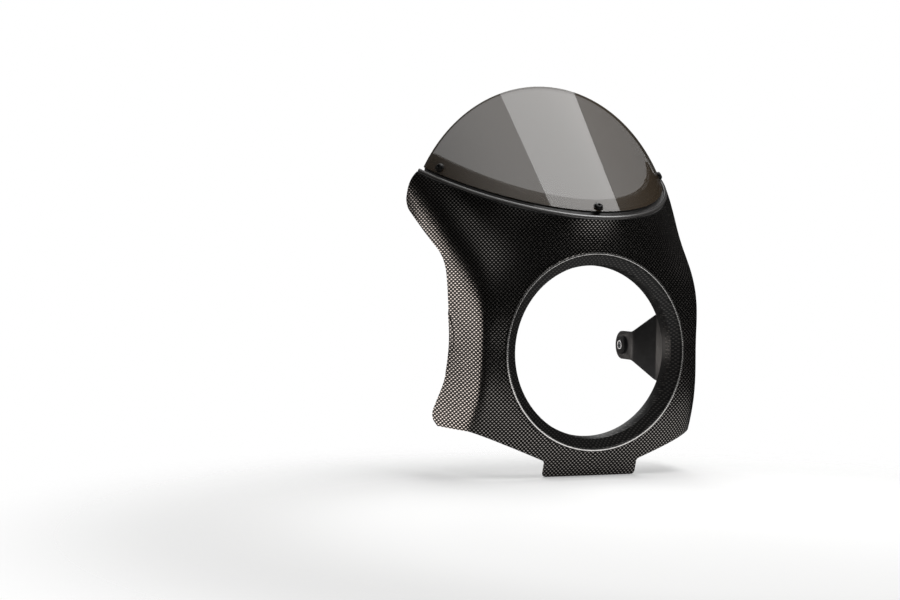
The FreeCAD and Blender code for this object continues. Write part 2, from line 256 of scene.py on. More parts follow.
@dataclass(frozen=True)
class CarbonWeave(Finish):
    """Satin moulded sheet with a printed plain weave on its face and bare black plastic inside.

    The print's top, the bead and the land's foot are heights over the brow's plane, and the lip's crest is a span of
    distance from the lamp's axis. Spans of light, roughness and coat go from a noise of 0 to a noise of 1. The crest,
    bead and land tones are painted highlights, and inside the lip the print is dimmed as a painted shade.
    """

    slot: Slot = Slot.SHELL
    tow: float = 0.00221
    line: float = 0.00222
    dip: float = 0.55
    crown: Span = (0.36, 0.82)
    threads_across: float = 17.0
    threads_along: float = 1.5
    warp_slice: float = 4.0
    relief: float = 0.00018
    relief_strength: float = 0.4
    thread_relief: float = 0.06
    grain_relief: float = 0.18
    print_top: float = -0.0053
    bead: Span = (-0.0040, -0.0002)
    # height over the brow's plane where the painted land highlight starts
    land_foot: float = 0.0022
    lip_crest: Span = (0.1098, 0.1117)
    # painted shade: share of the print kept inside the lip, which darkens the funnel
    funnel_shade: float = 0.42
    blur: float = 0.0002
    cloud_scale: float = 26.0
    grain_scale: float = 2600.0
    thread_light: Span = (0.78, 1.12)
    print_rough: Span = (0.185, 0.235)
    bare_rough: Span = (0.48, 0.60)
    print_coat: Span = (0.0, 0.04)
    bare_coat: float = 0.12
    bead_coat: float = 0.85
    land_coat: float = 0.80
    valley: Colour = (0.0030, 0.0029, 0.0029)
    warp_tone: Colour = (0.0050, 0.0048, 0.0046)
    weft_tone: Colour = (0.325, 0.302, 0.285)
    bare_tone: Colour = (0.020, 0.0197, 0.0194)
    # painted highlight: a light metallic tone along the lip's crest
    crest_highlight: Colour = (0.82, 0.80, 0.78)
    # painted highlight: a lighter tone along the bead
    bead_highlight: Colour = (0.085, 0.081, 0.078)
    # painted highlight: a light grey tone on the land under the screen, for the sheen of the overhead light
    land_highlight: Colour = (0.36, 0.345, 0.33)

    def past(self, shader: Shader, distance: Value, mark: float) -> Value:
        """Go from 0 to 1 as a distance passes a mark."""
        return shader.ease(distance, mark - self.blur, mark + self.blur)

    def within(self, shader: Shader, distance: Value, marks: Span) -> Value:
        """Be 1 between two marks and 0 outside them."""
        return self.past(shader, distance, marks[0]) * (1.0 - self.past(shader, distance, marks[1]))

    def paint(self, shader: Shader) -> None:
        """Fill the material's tree."""
        around, up, skin = shader.split(shader.take("ShaderNodeAttribute", "Vector", {"attribute_name": WEAVE}))
        where = shader.place()
        x, y, z = shader.split(where)
        over_brow = z - BROW_HEIGHT - (y + LIP_TO_SEAT) * BROW_SLOPE
        reach = (x * x + z * z).math("SQRT")
        face = skin * (1.0 - self.past(shader, over_brow, self.print_top))
        # the print's share, lowered inside the lip as a painted shade in the funnel
        printed = face * self.past(shader, reach, self.lip_crest[0]).mix(self.funnel_shade, 1.0)
        crest = face * self.within(shader, reach, self.lip_crest)
        # the bead, which gets the painted bead highlight
        bead = skin * self.within(shader, over_brow, self.bead)
        land = skin * self.past(shader, over_brow, self.land_foot)
        column = around / self.tow
        line = up / self.line
        warp_up = ((column.math("FLOOR") + line.math("FLOOR")) * 0.5).math("FRACT") * 2.0
        across = (column.math("FRACT") - 0.5) * 2.0
        along = (line.math("FRACT") - 0.5) * 2.0
        flat_across = across * across
        flat_along = along * along
        warp = (1.0 - flat_across) * (1.0 - flat_along * self.dip)
        weft = (1.0 - flat_along) * (1.0 - flat_across * self.dip)
        height = warp_up.mix(weft, warp)
        weft_at = shader.join(column * self.threads_along, line * self.threads_across, 0.0)
        warp_at = shader.join(column * self.threads_across, line * self.threads_along, self.warp_slice)
        threads = warp_up.mix(shader.noise(weft_at, 1.0), shader.noise(warp_at, 1.0))
        crown = shader.ease(height, *self.crown)
        # the weft cells, and the lip's crest with its painted highlight, are metallic
        lit = ((1.0 - warp_up) * crown).math("MAXIMUM", crest) * printed
        cloud = shader.noise(where, self.cloud_scale, 3.0)
        grain = shader.noise(where, self.grain_scale, 2.0)
        cloth = shader.blend(crown, self.valley, self.warp_tone)
        cloth = shader.blend(lit * threads.mix(*self.thread_light), cloth, self.weft_tone)
        # the painted highlight line on the lip's crest
        cloth = shader.blend(crest, cloth, self.crest_highlight)
        # bare plastic, with painted highlights on the bead and the land
        bare = shader.blend(bead, shader.blend(land, self.bare_tone, self.land_highlight), self.bead_highlight)
        bare_coat = self.bare_coat + bead * self.bead_coat + land * self.land_coat
        relief = printed.mix(grain * self.grain_relief, height + threads * self.thread_relief)
        shader.set(
            Base_Color=shader.blend(printed, bare, cloth),
            Metallic=lit,
            Roughness=printed.mix(grain.mix(*self.bare_rough), cloud.mix(*self.print_rough)),
            Specular_IOR_Level=0.02,
            Coat_Weight=printed.mix(bare_coat, cloud.mix(*self.print_coat)),
            Coat_Roughness=0.30,
            Coat_IOR=2.2,
            Normal=shader.bump(relief, self.relief, self.relief_strength))


@dataclass(frozen=True)
class SmokedSheet(Finish):
    """Clear sheet with a brown-grey smoke tint, darker on its cut edge."""

    slot: Slot = Slot.SCREEN
    tint: Colour = (0.068, 0.048, 0.029)
    edge_tint: Colour = (0.010, 0.009, 0.008)
    face_alpha: float = 0.668
    alpha_spread: float = 0.012
    edge_alpha: float = 0.97
    haze_scale: float = 14.0
    wipe_scale: Point = (60.0, 9.0, 9.0)
    face_rough: float = 0.006
    haze_rough: float = 0.008
    wipe_rough: float = 0.004
    edge_rough: float = 0.28

    def paint(self, shader: Shader) -> None:
        """Fill the material's tree."""
        edge = shader.take("ShaderNodeAttribute", "Fac", {"attribute_name": EDGE})
        where = shader.place()
        haze = shader.noise(where, self.haze_scale, 3.0, 0.6)
        wipe = shader.noise(shader.stretch(where, self.wipe_scale), 1.0, 2.0)
        face_rough = self.face_rough + haze * self.haze_rough + wipe * self.wipe_rough
        face_alpha = self.face_alpha + (haze - 0.5) * self.alpha_spread
        shader.set(
            Base_Color=shader.blend(edge, self.tint, self.edge_tint),
            Roughness=edge.mix(face_rough, self.edge_rough),
            Alpha=edge.mix(face_alpha, self.edge_alpha),
            Specular_IOR_Level=0.68,
            IOR=1.49)


@dataclass(frozen=True)
class Coated(Finish):
    """Paint, plating or plastic with a fine orange-peel skin and rubbed spots."""

    base: Colour = (0.02, 0.02, 0.02)
    rubbed: Colour = (0.06, 0.06, 0.06)
    metallic: float = 0.0
    roughness: float = 0.4
    spread: float = 0.12
    peel: float = 0.00002
    peel_scale: float = 1500.0
    lines: float = 1.0
    cloud_scale: float = 90.0
    rub: Span = (0.45, 0.8)

    def paint(self, shader: Shader) -> None:
        """Fill the material's tree."""
        where = shader.place()
        skin = shader.noise(shader.stretch(where, (1.0, 1.0, self.lines)), self.peel_scale, 3.0)
        cloud = shader.noise(where, self.cloud_scale, 3.0, 0.6)
        shader.set(
            Base_Color=shader.blend(shader.ease(cloud, *self.rub), self.base, self.rubbed),
            Metallic=self.metallic,
            Roughness=self.roughness + (cloud - 0.5) * self.spread + (skin - 0.5) * self.spread,
            Normal=shader.bump(skin, self.peel))


BLACK_SCREW = Coated(Slot.BLACK_SCREW, (0.012, 0.012, 0.012), (0.05, 0.046, 0.042), 0.6, 0.30, 0.14, 0.00001, 2400.0)
NYLON = Coated(Slot.NYLON, (0.016, 0.016, 0.016), (0.026, 0.026, 0.026), 0.0, 0.46, 0.10, 0.000012, 2600.0)
RUBBER = Coated(Slot.RUBBER, (0.016, 0.0155, 0.015), (0.040, 0.039, 0.038), 0.0, 0.74, 0.12, 0.00003, 1800.0)
BRASS = Coated(Slot.BRASS, (0.70, 0.50, 0.21), (0.50, 0.33, 0.13), 1.0, 0.30, 0.16, 0.00001, 2200.0)
STAY_PAINT = Coated(Slot.STAY_PAINT, (0.018, 0.018, 0.019), (0.030, 0.030, 0.031), 0.0, 0.42, 0.12, 0.00005, 620.0)
ZINC = Coated(Slot.ZINC, (0.60, 0.61, 0.63), (0.44, 0.44, 0.43), 1.0, 0.30, 0.18, 0.00001, 1600.0, 0.2)


class PartTree(Graph):
    """A Geometry Nodes tree whose sizes are named inputs."""

    def __init__(self, name: str) -> None:
        """Start a tree with one geometry going in and one coming out."""
        super().__init__(bpy.data.node_groups.new(name, "GeometryNodeTree"))
        for way in ("INPUT", "OUTPUT"):
            self.tree.interface.new_socket("Geometry", in_out=way, socket_type="NodeSocketGeometry")
        self.source = self.tree.nodes.new("NodeGroupInput")
        self.sizes: dict[str, float] = {}

    def size(self, name: str, value: float) -> Value:
        """Add a named size.

        Args:
            name: The input's name.
            value: The size in metres or radians, or a slope or share.

        Returns:
            The input, for use in the tree.
        """
        item = self.tree.interface.new_socket(name, in_out="INPUT", socket_type="NodeSocketFloat")
        self.sizes[item.identifier] = value
        return Value(self, self.find(self.source.outputs, item.identifier))

    def given(self) -> Value:
        """The geometry that goes in."""
        return Value(self, self.source.outputs["Geometry"])

    def grid(self, columns: int, rows: int) -> tuple[Value, Value, Value]:
        """Make a flat grid of vertices.

        Args:
            columns: Vertices from side to side.
            rows: Vertices from foot to top.

        Returns:
            The mesh, and each vertex's share from side to side and from foot to top.
        """
        mesh = self.take("GeometryNodeMeshGrid", "Mesh", None,
                         {"Size X": 1.0, "Size Y": 1.0, "Vertices X": columns, "Vertices Y": rows})
        side, rise, _ = self.split(self.take("GeometryNodeInputPosition", "Position"))
        return mesh, side + 0.5, rise + 0.5

    def moved(self, mesh: Value, x: Value, y: Value, z: Value) -> Value:
        """Put each vertex at a new place."""
        return self.take("GeometryNodeSetPosition", "Geometry", None,
                         {"Geometry": mesh, "Position": self.join(x, y, z)})

    def finish(self, geometry: Value, material: bpy.types.Material, crease: float) -> None:
        """End the tree: realise, shade smooth up to a crease angle, and set the material.

        Args:
            geometry: What the tree has made.
            material: Its material.
            crease: Edges that turn by more than this angle stay sharp.
        """
        solid = self.take("GeometryNodeRealizeInstances", "Geometry", None, {"Geometry": geometry})
        angle = self.take("GeometryNodeInputMeshEdgeAngle", "Unsigned Angle")
        flat = self.math("LESS_THAN", angle, crease)
        for domain, smooth in (("FACE", True), ("EDGE", flat)):
            solid = self.take("GeometryNodeSetShadeSmooth", 0, {"domain": domain}, {0: solid, "Shade Smooth": smooth})
        solid = self.take("GeometryNodeSetMaterial", "Geometry", None, {"Geometry": solid, "Material": material})
        self.node("NodeGroupOutput", None, {"Geometry": solid})

    def build(self, name: str, seed: bpy.types.Mesh) -> bpy.types.Object:
        """Run the tree and keep its result as a plain mesh.

        Args:
            name: The piece's name.
            seed: The mesh that goes in.

        Returns:
            The piece, with no modifier left on it.
        """
        piece = new_object(name, seed)
        modifier = piece.modifiers.new("build", "NODES")
        modifier.node_group = self.tree
        for identifier, value in self.sizes.items():
            modifier[identifier] = value
        return settled(piece)


def new_object(name: str, data: bpy.types.ID) -> bpy.types.Object:
    """Link a new object at the origin."""
    made = bpy.data.objects.new(name, data)
    bpy.context.scene.collection.objects.link(made)
    return made


def settled(piece: bpy.types.Object) -> bpy.types.Object:
    """Turn a piece with its modifiers into a plain mesh."""
    graph = bpy.context.evaluated_depsgraph_get()
    mesh = bpy.data.meshes.new_from_object(piece.evaluated_get(graph), preserve_all_data_layers=True, depsgraph=graph)
    piece.modifiers.clear()
    piece.data = mesh
    return piece


def soften(piece: bpy.types.Object, width: float, crease: float, harden: bool = False) -> None:
    """Round a piece's sharp edges, and settle it.

    Args:
        piece: The piece.
        width: Size of the rounding.
        crease: Edges that turn by more than this angle are rounded.
        harden: Whether the faces beside the rounding keep their own normals.
    """
    soft = piece.modifiers.new("soft_edge", "BEVEL")
    soft.width = width
    soft.segments = EDGE_STEPS
    soft.limit_method = "ANGLE"
    soft.angle_limit = crease
    soft.harden_normals = harden
    settled(piece)


def copied(node: str, name: str) -> bpy.types.Object:
    """Copy a node's mesh, with the loose edges of its triangles joined.

    Args:
        node: The node.
        name: The new piece's name.

    Returns:
        The piece.
    """
    solid = bmesh.new()
    solid.from_mesh(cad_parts[node].data)
    bmesh.ops.remove_doubles(solid, verts=solid.verts, dist=MERGE_GAP)
    bmesh.ops.dissolve_degenerate(solid, edges=solid.edges, dist=MERGE_GAP)
    for face in solid.faces:
        face.smooth = True
    mesh = bpy.data.meshes.new(name)
    solid.to_mesh(mesh)
    solid.free()
    if "custom_normal" in mesh.attributes:
        mesh.attributes.remove(mesh.attributes["custom_normal"])
    return new_object(name, mesh)


def stand_in(piece: bpy.types.Object, node: str, slot: Slot) -> None:
    """Let a piece ride on the body and stand for a node.

    Args:
        piece: The finished piece.
        node: The node that it replaces.
        slot: The record's slot of its finish; not used.
    """
    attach(piece, BODY)
    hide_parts(node)
    LOG.info("%s stands for %s: %d faces", piece.name, node, len(piece.data.polygons))


@dataclass
class ShellMoulding:
    """The moulded shell: its skin, bead, lip and land, with a weave that follows the skin."""

    nose_line: tuple[Span, ...] = (
        (-0.1457, 0.014), (-0.0951, 0.002), (-0.045, 0.0), (0.062, 0.0), (0.1115, -0.002), (0.1526, -0.011))
    front_share: float = 0.922
    side_share: float = 0.386
    boss_box: Point = (0.1335, 0.028, 0.040)
    front_facing: float = -0.15
    side_facing: float = 0.45
    flank_facing: float = 0.3
    flank_reach: float = 0.1157
    flank_rear: float = -0.005
    brow_facing: float = 0.5
    brow_margin: float = -0.03
    crease: float = math.radians(32.0)
    finish: CarbonWeave = field(default_factory=CarbonWeave)

    def weave_places(self, points: np.ndarray) -> np.ndarray:
        """Where each point lies on the woven sheet.

        The printed film is pulled long on the side walls, so a step to the back counts there only in part.

        Args:
            points: Vertices in the row frame.

        Returns:
            Length round the skin and height, for each vertex.
        """
        x, y, z = points[:, 0], points[:, 1] + LIP_TO_SEAT, points[:, 2]
        heights, noses = np.array(self.nose_line).T
        behind = y - np.interp(z, heights, noses)
        return np.stack([self.front_share * x + np.sign(x) * self.side_share * behind, z], axis=1)

    def outside(self, face: bpy.types.MeshPolygon) -> bool:
        """Tell whether a face is on the show side of the moulding, so not on a boss or the inner wall."""
        normal, (x, y, z) = face.normal, face.center
        boss_x, boss_y, boss_z = self.boss_box
        if abs(x) < boss_x and y > boss_y and abs(z) < boss_z:
            return False
        reach = math.hypot(x, z)
        past_lip = reach > self.finish.lip_crest[0]
        away = (normal.x * x + normal.z * z) / reach
        over_brow = z - BROW_HEIGHT - BROW_SLOPE * (y + LIP_TO_SEAT)
        on_front = normal.y < self.front_facing
        on_side = past_lip and normal.x * math.copysign(1.0, x) > self.side_facing
        on_flank = past_lip and away > self.flank_facing and reach < self.flank_reach and y < self.flank_rear
        on_brow = normal.z > self.brow_facing and over_brow > self.brow_margin
        return on_front or on_side or on_flank or on_brow

    def build(self) -> None:
        """Make the shell's piece, and write the weave onto its faces."""
        piece = copied("fairing_shell", "shell_moulding")
        mesh = piece.data
        points = np.zeros(len(mesh.vertices) * 3)
        mesh.vertices.foreach_get("co", points)
        places = self.weave_places(points.reshape(-1, 3))
        weave = mesh.attributes.new(WEAVE, "FLOAT_VECTOR", "CORNER")
        for face in mesh.polygons:
            skin = float(self.outside(face))
            for corner in face.loop_indices:
                weave.data[corner].vector = (*places[mesh.loops[corner].vertex_index], skin)
        mesh.set_sharp_from_angle(angle=self.crease)
        mesh.materials.clear()
        mesh.materials.append(self.finish.material())
        stand_in(piece, "fairing_shell", self.finish.slot)


@dataclass
class RakedArch:
    """The half-oval arch that leans back over the brow, shared by the screen and its fixings."""

    rake: float = math.radians(45.4)
    half_width: float = 0.178
    brow_height: float = BROW_HEIGHT
    brow_slope: float = BROW_SLOPE
    brow_nose: float = -0.011
    brow_depth: float = 0.288
    inset: float = 0.002
    land_rise: float = 0.0067
    land_flare: float = 0.077

    def rise(self) -> float:
        """Height of the screen's oval, square to the rake."""
        lean = self.rake - math.atan(self.brow_slope)
        return self.brow_depth * math.hypot(1.0, self.brow_slope) * math.sin(lean) - self.inset

    def axis_y(self) -> float:
        """Where the oval's axis meets the brow's plane, from the lip."""
        return self.brow_nose + self.brow_depth

    def axis_z(self) -> float:
        """Height of that point."""
        return self.brow_height + self.brow_slope * self.axis_y()

    def station(self, x: float, share: float) -> tuple[Vector, Vector]:
        """Find a fixing's place.

        Args:
            x: Distance from the centre plane.
            share: How far up it is from the brow to the land's edge.

        Returns:
            The point on the screen's outer face, in the row frame, and the normal there.
        """
        along = Vector((0.0, math.cos(self.rake), math.sin(self.rake)))
        across = Vector((0.0, -math.sin(self.rake), math.cos(self.rake)))
        sine = x / self.half_width
        cosine = math.sqrt(1.0 - sine * sine)
        foot = Vector((x, self.axis_y(), self.axis_z())) + across * (self.rise() * cosine)
        runs = []
        for height, slope in ((self.brow_height, self.brow_slope),
                              (self.brow_height + self.land_rise, self.brow_slope + self.land_flare)):
            runs.append((height + slope * foot.y - foot.z) / (along.z - slope * along.y))
        normal = (Vector((sine / self.half_width, 0.0, 0.0)) + across * (cosine / self.rise())).normalized()
        point = foot + along * (runs[0] + (runs[1] - runs[0]) * share) - Vector((0.0, LIP_TO_SEAT, 0.0))
        return point, normal


@dataclass
class ScreenSheet:
    """The smoked screen: a flat-cut sheet bent into the raked arch."""

    arch: RakedArch
    thickness: float = 0.003
    foot_gap: float = 0.0028
    rear_y: float = 0.1438
    rear_z: float = 0.204
    rear_lean: float = 2.4 / 111.0
    end_share: float = 0.996
    edge_round: float = 0.0006
    columns: int = 181
    rows: int = 37
    crease: float = math.radians(40.0)
    least_face_on: float = 0.85
    most_end_on: float = 0.5
    finish: SmokedSheet = field(default_factory=SmokedSheet)

    def build(self) -> None:
        """Make the screen's piece."""
        tree = PartTree("bent_sheet")
        half = tree.size("Half width", self.arch.half_width)
        rise = tree.size("Rise", self.arch.rise())
        rake = tree.size("Rake", self.arch.rake)
        axis_y = tree.size("Axis Y", self.arch.axis_y())
        axis_z = tree.size("Axis Z", self.arch.axis_z())
        foot_height = tree.size("Foot height", self.arch.brow_height + self.foot_gap)
        foot_slope = tree.size("Foot slope", self.arch.brow_slope)
        rear_y = tree.size("Rear Y", self.rear_y)
        rear_z = tree.size("Rear Z", self.rear_z)
        lean = tree.size("Rear lean", self.rear_lean)
        ends = tree.size("End share", self.end_share)
        offset = tree.size("Lip to seat", LIP_TO_SEAT)
        sine, cosine = rake.math("SINE"), rake.math("COSINE")
        corner_y = (rear_y + lean * (foot_height - rear_z)) / (1.0 - lean * foot_slope)
        corner_z = foot_height + foot_slope * corner_y
        corner = (cosine * (corner_z - axis_z) - sine * (corner_y - axis_y)) / rise
        mesh, side, up = tree.grid(self.columns, self.rows)
        turn = (side * 2.0 - 1.0) * corner.math("ARCCOSINE") * ends
        high = rise * turn.math("COSINE")
        foot_y = axis_y - sine * high
        foot_z = axis_z + cosine * high
        low_run = (foot_height + foot_slope * foot_y - foot_z) / (sine - foot_slope * cosine)
        rear_run = (rear_y + lean * (foot_z - rear_z) - foot_y) / (cosine - lean * sine)
        run = low_run + (rear_run - low_run) * up
        sheet = tree.moved(mesh, half * turn.math("SINE"), foot_y + cosine * run - offset, foot_z + sine * run)
        tree.finish(sheet, self.finish.material(), self.crease)
        piece = tree.build("screen_sheet", bpy.data.meshes.new("screen_seed"))
        self.thicken(piece)
        stand_in(piece, "windscreen", self.finish.slot)

    def thicken(self, piece: bpy.types.Object) -> None:
        """Give the sheet its thickness and rounded edges, and mark the edges for the tint.

        Args:
            piece: The sheet's outer face, which becomes a closed sheet.
        """
        wall = piece.modifiers.new("wall", "SOLIDIFY")
        wall.thickness = self.thickness
        wall.offset = -1.0
        wall.use_even_offset = True
        wall.use_rim = True
        soften(piece, self.edge_round, self.crease, harden=True)
        mesh = piece.data
        edge = mesh.attributes.new(EDGE, "FLOAT", "CORNER")
        across = Vector((0.0, -math.sin(self.arch.rake), math.cos(self.arch.rake)))
        along = Vector((0.0, math.cos(self.arch.rake), math.sin(self.arch.rake)))
        for face in mesh.polygons:
            oval = Vector((face.center.x / self.arch.half_width ** 2, 0.0, 0.0))
            back = face.center.y + LIP_TO_SEAT - self.arch.axis_y()
            over = face.center.z - self.arch.axis_z()
            high = Vector((0.0, back, over)).dot(across)
            oval += across * (high / self.arch.rise() ** 2)
            face_on = abs(face.normal.dot(oval.normalized()))
            end_on = abs(face.normal.dot(along))
            for corner in face.loop_indices:
                edge.data[corner].value = float(face_on < self.least_face_on or end_on > self.most_end_on)


Outline = list[tuple[Operand, Operand, Row]]


@dataclass
class TurnedSet:
    """Like fittings turned about their own axes, one for each seat."""

    name: str
    node: str
    finish: Finish
    seats: list[tuple[Vector, Vector]]
    segments: int = 48
    crease: float = math.radians(28.0)

    def outline(self, tree: PartTree) -> Outline:
        """Rows of the fitting, from its inner foot out, up and back in.

        Args:
            tree: The tree that holds the sizes.

        Returns:
            Radius, height and kind of each row.
        """
        raise NotImplementedError

    def build(self) -> None:
        """Turn one fitting and set it on every seat."""
        tree = PartTree(self.name)
        rows = self.outline(tree)
        mesh, side, up = tree.grid(self.segments + 1, len(rows))
        index = tree.take("FunctionNodeFloatToInt", "Integer", {"rounding_mode": "ROUND"},
                          {"Float": up * (len(rows) - 1.0)})
        turn = side * (2.0 * math.pi)
        radius, height, hexed = (
            tree.take("GeometryNodeIndexSwitch", 0, {"data_type": "FLOAT", "items": len(rows)},
                      {"Index": index, **{k + 1: feed for k, feed in enumerate(feeds)}})
            for feeds in ([r for r, _, _ in rows], [h for _, h, _ in rows], [kind.value for _, _, kind in rows]))
        sixth = math.pi / 3.0
        corner = 1.0 / ((turn / sixth).math("FRACT") * sixth - sixth / 2.0).math("COSINE")
        radius = radius * (1.0 + hexed * (corner - 1.0))
        turned = tree.moved(mesh, radius * turn.math("COSINE"), radius * turn.math("SINE"), height)
        turned = tree.take("GeometryNodeMergeByDistance", "Geometry", None,
                           {"Geometry": turned, "Distance": MERGE_GAP})
        axis = tree.take("GeometryNodeInputNamedAttribute", "Attribute", {"data_type": "FLOAT_VECTOR"}, {"Name": AXIS})
        aim = tree.take("FunctionNodeAlignRotationToVector", "Rotation", {"axis": "Z"}, {"Vector": axis})
        placed = tree.take("GeometryNodeInstanceOnPoints", "Instances", None,
                           {"Points": tree.given(), "Instance": turned, "Rotation": aim})
        tree.finish(placed, self.finish.material(), self.crease)
        seed = bpy.data.meshes.new(f"{self.name}_seats")
        seed.from_pydata([tuple(point) for point, _ in self.seats], [], [])
        axes = seed.attributes.new(AXIS, "FLOAT_VECTOR", "POINT")
        for item, (_, direction) in zip(axes.data, self.seats):
            item.vector = direction
        stand_in(tree.build(self.name, seed), self.node, self.finish.slot)


@dataclass
class ScreenScrews(TurnedSet):
    """Domed black screws with a hexagon socket.

    Rows of the rim and mouth are shares of the radius there and of the head's height. Ridges count in shank radii.
    """

    shank: float = 0.0025
    head: float = 0.0049
    head_height: float = 0.0029
    socket: float = 0.0030
    socket_depth: float = 0.0017
    seat_height: float = 0.0008
    length: float = 0.0185
    tip_share: float = 0.8
    ridges: int = 4
    ridge_start: float = 0.2
    ridge_pitch: float = 0.3
    root_share: float = 0.86
    rim: tuple[Span, ...] = ((0.96, 0.0), (1.0, 0.08), (1.0, 0.30))
    dome_steps: int = 6
    dome_turn: float = math.radians(62.0)
    dome_core: float = 0.06
    mouth_lead: float = 1.32
    mouth: tuple[Span, ...] = ((1.06, -0.06), (1.0, -0.14))
    drill_share: float = 1.18

    def outline(self, tree: PartTree) -> Outline:
        """Rows of the screw, from its tip up over the head and down into the socket."""
        shank = tree.size("Shank radius", self.shank)
        head = tree.size("Head radius", self.head)
        rise = tree.size("Head height", self.head_height)
        flat = tree.size("Socket half width", self.socket / 2.0)
        depth = tree.size("Socket depth", self.socket_depth)
        foot = tree.size("Seat height", self.seat_height)
        tip = tree.size("Tip", -self.length)
        top = foot + rise
        rows = Row.ROUND.at((0.0, tip), (shank * self.tip_share, tip))
        for ridge in range(self.ridges):
            start = self.ridge_start + self.ridge_pitch * ridge
            rows += Row.ROUND.scaled(shank, tip, shank,
                                     ((self.root_share, start), (1.0, start + self.ridge_pitch / 2.0)))
        rows += Row.ROUND.at((shank, foot)) + Row.ROUND.scaled(head, foot, rise, self.rim)
        rim_height = self.rim[-1][1]
        for step in range(1, self.dome_steps + 1):
            angle = self.dome_turn * step / self.dome_steps
            lift = math.sin(angle) / math.sin(self.dome_turn)
            wide = self.dome_core + (1.0 - self.dome_core) * math.cos(angle)
            rows += Row.ROUND.scaled(head, foot, rise, ((wide, rim_height + (1.0 - rim_height) * lift),))
        return (rows + Row.ROUND.at((flat * self.mouth_lead, top)) + Row.HEXAGON.scaled(flat, top, rise, self.mouth)
                + Row.HEXAGON.at((flat, top - depth)) + Row.ROUND.at((0.0, top - depth * self.drill_share)))


@dataclass
class Rings(TurnedSet):
    """Plain rings, such as washers, sleeves and inserts."""

    inner: float = 0.0028
    outer: float = 0.0056
    low: float = 0.0
    high: float = 0.0008
    chamfer: float = 0.0002

    def outline(self, tree: PartTree) -> Outline:
        """Rows of the ring, with chamfered outer edges."""
        inner = tree.size("Bore radius", self.inner)
        outer = tree.size("Outer radius", self.outer)
        low = tree.size("Foot", self.low)
        high = tree.size("Top", self.high)
        chamfer = tree.size("Chamfer", self.chamfer)
        return Row.ROUND.at((inner, low), (outer - chamfer, low), (outer, low + chamfer), (outer, high - chamfer),
                            (outer - chamfer, high), (inner, high), (inner, low))


@dataclass
class WellNuts(TurnedSet):
    """Rubber nuts that grip the land from behind, with a flange under the screen."""

    bore: float = 0.0028
    flange: float = 0.0056
    flange_height: float = 0.0012
    body: float = 0.0043
    pocket: float = 0.00332
    land_depth: float = 0.0045
    length: float = 0.013
    pocket_length: float = 0.00752
    land_gap: float = 0.00005
    soft: float = 0.0003

    def outline(self, tree: PartTree) -> Outline:
        """Rows of the nut, from the pocket's mouth out, up round the flange and down the bore."""
        bore = tree.size("Bore radius", self.bore)
        flange = tree.size("Flange radius", self.flange)
        body = tree.size("Body radius", self.body)
        pocket = tree.size("Pocket radius", self.pocket)
        foot = tree.size("Flange foot", self.land_gap - self.land_depth)
        top = tree.size("Flange top", self.land_gap - self.land_depth + self.flange_height)
        end = tree.size("End", -self.land_depth - self.length)
        roof = tree.size("Pocket roof", -self.land_depth - self.length + self.pocket_length)
        soft = tree.size("Edge", self.soft)
        return Row.ROUND.at((pocket, end), (body - soft, end), (body, end + soft), (body, foot), (flange - soft, foot),
                            (flange, foot + soft), (flange, top - soft), (flange - soft, top), (bore, top),
                            (bore, roof), (pocket, roof), (pocket, end))


@dataclass
class StayScrews(TurnedSet):
    """Hexagon screws that hold a stay to its bosses, head inwards.

    Each row of the crown, corners, under side and tip is a share of the radius there and a height in metres.
    """

    shank: float = 0.003
    reach: float = 0.010
    foot: float = -0.0046
    across: float = 0.010
    head: float = 0.004
    crown: tuple[Span, ...] = ((0.0, 0.0), (0.72, 0.0), (0.90, 0.0002))
    corners: tuple[Span, ...] = ((0.97, 0.0007), (1.0, 0.0010))
    under: tuple[Span, ...] = ((1.0, -0.0004), (0.98, 0.0))
    tip: tuple[Span, ...] = ((1.0, -0.0006), (0.8, 0.0), (0.0, 0.0))

    def outline(self, tree: PartTree) -> Outline:
        """Rows of the screw, from the head's crown out, up past the washer and along the shank."""
        shank = tree.size("Shank radius", self.shank)
        flat = tree.size("Half across flats", self.across / 2.0)
        foot = tree.size("Head foot", self.foot)
        crown = tree.size("Head crown", self.foot - self.head)
        reach = tree.size("Reach", self.reach)
        return (Row.ROUND.scaled(flat, crown, 1.0, self.crown) + Row.HEXAGON.scaled(flat, crown, 1.0, self.corners)
                + Row.HEXAGON.scaled(flat, foot, 1.0, self.under) + Row.ROUND.at((shank, foot))
                + Row.ROUND.scaled(shank, reach, 1.0, self.tip))


@dataclass
class EarBushes(TurnedSet):
    """Grooved rubber bushes in the ears of the stays."""

    bore: float = 0.00562
    neck: float = 0.00798
    flange: float = 0.011
    half_grip: float = 0.00152
    end: float = 0.005
    soft: float = 0.001
    corner_turns: tuple[float, ...] = (0.0, 30.0, 60.0, 90.0)

    def outline(self, tree: PartTree) -> Outline:
        """Rows of the bush, from one end of the bore out, over the groove and back down the bore."""
        bore = tree.size("Bore radius", self.bore)
        neck = tree.size("Neck radius", self.neck)
        flange = tree.size("Flange radius", self.flange)
        grip = tree.size("Half grip", self.half_grip)
        end = tree.size("End", self.end)
        corner = [(self.soft * (1.0 - math.sin(turn)), self.soft * (1.0 - math.cos(turn)))
                  for turn in map(math.radians, self.corner_turns)]
        low, under = 0.0 - end, 0.0 - grip
        return Row.ROUND.at((bore, low), *((flange - inwards, low + off) for inwards, off in corner),
                            (flange, under), (neck, under), (neck, grip), (flange, grip),
                            *((flange - inwards, end - off) for inwards, off in reversed(corner)),
                            (bore, end), (bore, low))


